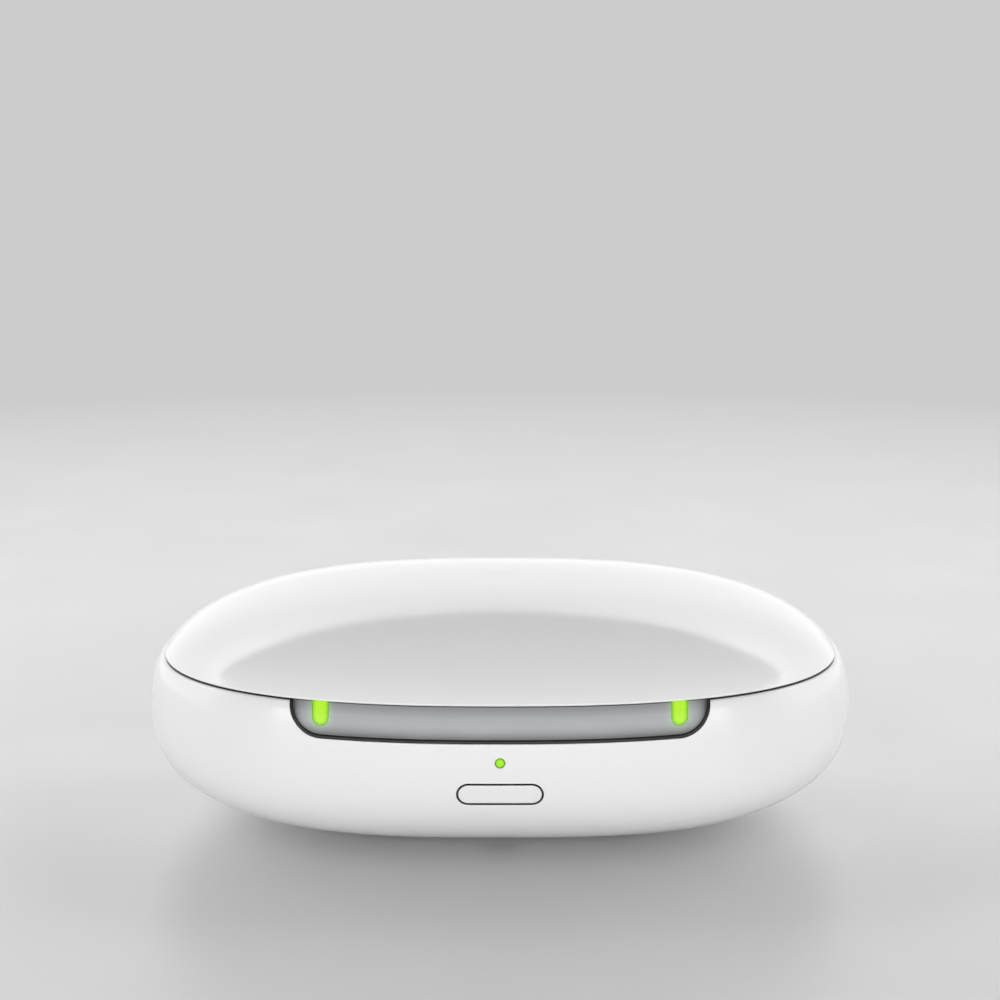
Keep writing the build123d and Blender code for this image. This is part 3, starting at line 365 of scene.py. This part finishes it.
def paint_nodes():
    white = white_gloss()
    inner = moulded("inner_grey", grey(0.78), roughness=0.5)
    cradle = soft_rubber("cradle_grey", grey(0.42))
    pad = soft_rubber("pad_rubber", grey(0.5))
    foot = soft_rubber("foot_rubber", grey(0.3))
    gasket = moulded("gasket_rubber", grey(0.11), roughness=0.45)
    screw = metal("screw_steel", grey(0.74), roughness=0.3, grain_size=0.1)
    leaf = metal("hinge_steel", grey(0.78), roughness=0.34, stretch=(0.15, 1, 1))
    pin = metal("pin_steel", grey(0.68), roughness=0.2, stretch=(0.1, 1, 1))
    inlet = metal("usb_steel", grey(0.72), roughness=0.28, stretch=(1, 0.2, 1))
    magnet = metal("magnet_nickel", grey(0.8), roughness=0.16, grain_size=0.6)
    copper = metal("coil_copper", colour(201, 122, 72), roughness=0.3)
    ferrite = moulded("ferrite", grey(0.16), roughness=0.6)
    chip = moulded("chip_black", grey(0.12), roughness=0.45)
    plunger = moulded("plunger_black", grey(0.1), roughness=0.5)
    connector = moulded("connector_white", grey(0.85), roughness=0.45)
    foam = moulded("tape_foam", grey(0.25), roughness=0.8, grain_size=0.5, grain_depth=0.05)
    wire = moulded("lead_red", colour(190, 40, 36), roughness=0.4)
    finishes = {
        white: ("lid_shell", "base_shell", "front_button", "bottom_cover"),
        inner: ("charging_deck", "lid_liner"),
        cradle: ("cradle_liner_left", "cradle_liner_right"),
        pad: ("hold_down_pad_left", "hold_down_pad_right", "lid_bumpers"),
        foot: ("rubber_feet",),
        gasket: ("window_gasket",),
        window_panel(): ("front_window",),
        pipe_light(): ("light_pipe_left", "light_pipe_right"),
        status_light(): ("status_lens",),
        screw: ("bottom_screws", "board_screws", "base_hinge_screws", "lid_hinge_screws"),
        leaf: ("base_hinge_bracket", "lid_hinge_bracket"),
        pin: ("hinge_pin",),
        inlet: ("usb_c_shell",),
        magnet: ("base_magnets", "lid_magnets"),
        copper: ("charging_coil_left", "charging_coil_right"),
        ferrite: ("ferrite_shields",),
        circuit_board(): ("main_board", "front_board"),
        chip: ("board_chips", "board_header", "button_switch"),
        plunger: ("switch_plunger", "usb_c_tongue"),
        connector: ("battery_connector", "light_leds"),
        battery_foil(): ("battery",),
        foam: ("battery_tape",),
        wire: ("battery_lead",),
    }
    for finish, nodes in finishes.items():
        for node in nodes:
            paint(node, finish)


def add_object(name, data):
    made = bpy.data.objects.new(name, data)
    bpy.context.collection.objects.link(made)
    return made


def add_floor():
    """Pale satin floor that turns into the backdrop's grey farther out, for the camera only."""
    reach = FLOOR_REACH
    corners = [(-reach, -reach, 0), (reach, -reach, 0), (reach, reach, 0), (-reach, reach, 0)]
    data = bpy.data.meshes.new("floor")
    data.from_pydata(corners, [], [(0, 1, 2, 3)])
    finish = Finish("floor", grey(FLOOR_GREY), roughness=0.3)
    finish.vary_roughness(size=30.0, low=0.28, high=0.36)
    rays = finish.node("ShaderNodeLightPath")
    away = finish.node("ShaderNodeVectorMath", operation="LENGTH")
    finish.link(finish.place, away.inputs[0])
    fade = finish.spread(away.outputs["Value"], 0.0, 1.0, FADE_START, FADE_END)
    blend = finish.node("ShaderNodeMixShader")
    finish.link(finish.math("MULTIPLY", fade, rays.outputs["Is Camera Ray"]), blend.inputs[0])
    finish.link(finish.shader.outputs[0], blend.inputs[1])
    backdrop = finish.node("ShaderNodeEmission")
    backdrop.inputs["Color"].default_value = grey(BACKDROP_GREY)
    finish.link(backdrop.outputs[0], blend.inputs[2])
    finish.link(blend.outputs[0], finish.tree.nodes["Material Output"].inputs["Surface"])
    data.materials.append(finish.material)
    add_object("floor", data)


def direction(azimuth, elevation):
    """Unit vector from the case, with azimuth 0 towards the camera."""
    turn, lift = math.radians(azimuth), math.radians(elevation)
    level = math.cos(lift)
    return Vector((math.sin(turn) * level, -math.cos(turn) * level, math.sin(lift)))


def soft_box(name, azimuth, elevation, distance, width, height, radiance):
    """Rectangular lamp that faces the case."""
    data = bpy.data.lights.new(name, "AREA")
    data.shape = "RECTANGLE"
    data.size, data.size_y = width, height
    data.energy = radiance * math.pi * width * height
    lamp = add_object(name, data)
    back = direction(azimuth, elevation)
    lamp.location = back * distance
    lamp.rotation_mode = "QUATERNION"
    lamp.rotation_quaternion = (-back).to_track_quat("-Z", "Y")
    lamp.visible_camera = False


def light_wall():
    """Curved soft light round the back and sides, brighter and higher beside the middle."""
    points, faces, levels = [], [], []
    for column in range(WALL_COLUMNS + 1):
        away = WALL_HALF_TURN * (2 * column / WALL_COLUMNS - 1)
        arch = math.sin(math.pi * min(abs(away) / WALL_ARCH_SPAN, 1))
        fade = min((WALL_HALF_TURN - abs(away)) / (WALL_HALF_TURN - WALL_FADE), 1)
        for row in range(WALL_ROWS + 1):
            rise = row / WALL_ROWS
            elevation = WALL_LOW + rise * (WALL_HIGH + WALL_ARCH * arch - WALL_LOW)
            points.append(direction(180 + away, elevation) * WALL_DISTANCE)
            glow = WALL_TOP_GLOW * min(abs(away) / WALL_GLOW_TURN, 1)
            level = WALL_LEVEL + WALL_LEVEL_RISE * abs(away) + glow * rise ** WALL_TOP_GLOW_POWER
            feather = min((1 - rise) / WALL_FEATHER, 1)
            levels.append(fade * feather * level)
            if column and row:
                here = column * (WALL_ROWS + 1) + row
                left = here - WALL_ROWS - 1
                faces.append((left - 1, here - 1, here, left))
    data = bpy.data.meshes.new("light_wall")
    data.from_pydata(points, [], faces)
    attribute = data.attributes.new("level", "FLOAT", "POINT")
    attribute.data.foreach_set("value", levels)
    material = bpy.data.materials.new("light_wall")
    material.use_nodes = True
    nodes = material.node_tree.nodes
    nodes.clear()
    level = nodes.new("ShaderNodeAttribute")
    level.attribute_name = "level"
    glow = nodes.new("ShaderNodeEmission")
    output = nodes.new("ShaderNodeOutputMaterial")
    material.node_tree.links.new(level.outputs["Fac"], glow.inputs["Strength"])
    material.node_tree.links.new(glow.outputs[0], output.inputs["Surface"])
    data.materials.append(material)
    wall = add_object("light_wall", data)
    wall.visible_camera = False


def add_world():
    """Dim light from everywhere, and the backdrop's grey where the camera looks past the floor."""
    world = bpy.data.worlds.new("studio")
    world.use_nodes = True
    nodes, links = world.node_tree.nodes, world.node_tree.links
    dim = nodes["Background"]
    dim.inputs["Color"].default_value = (1, 1, 1, 1)
    dim.inputs["Strength"].default_value = WORLD_LEVEL
    seen = nodes.new("ShaderNodeBackground")
    seen.inputs["Color"].default_value = grey(BACKDROP_GREY)
    rays = nodes.new("ShaderNodeLightPath")
    blend = nodes.new("ShaderNodeMixShader")
    links.new(rays.outputs["Is Camera Ray"], blend.inputs[0])
    links.new(dim.outputs[0], blend.inputs[1])
    links.new(seen.outputs[0], blend.inputs[2])
    links.new(blend.outputs[0], nodes["World Output"].inputs["Surface"])
    bpy.context.scene.world = world


def add_lights():
    add_world()
    light_wall()
    for name, sizes in SOFT_BOXES.items():
        soft_box(name, *sizes)


def add_camera():
    data = bpy.data.cameras.new("camera")
    data.lens = CAMERA_LENS
    camera = add_object("camera", data)
    camera.location = (0, -CAMERA_BACK * MM, CAMERA_HEIGHT * MM)
    camera.rotation_euler = (math.radians(90 - CAMERA_PITCH), 0, 0)
    bpy.context.scene.camera = camera
    bpy.context.scene.view_settings.view_transform = "Standard"


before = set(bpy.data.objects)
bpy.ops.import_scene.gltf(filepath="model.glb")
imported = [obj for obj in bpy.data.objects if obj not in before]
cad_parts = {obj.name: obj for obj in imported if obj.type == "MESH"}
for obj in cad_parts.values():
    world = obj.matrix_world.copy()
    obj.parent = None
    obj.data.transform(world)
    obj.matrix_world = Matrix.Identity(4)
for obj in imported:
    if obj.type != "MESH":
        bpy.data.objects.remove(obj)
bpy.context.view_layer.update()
paint_nodes()
add_floor()
add_lights()
add_camera()
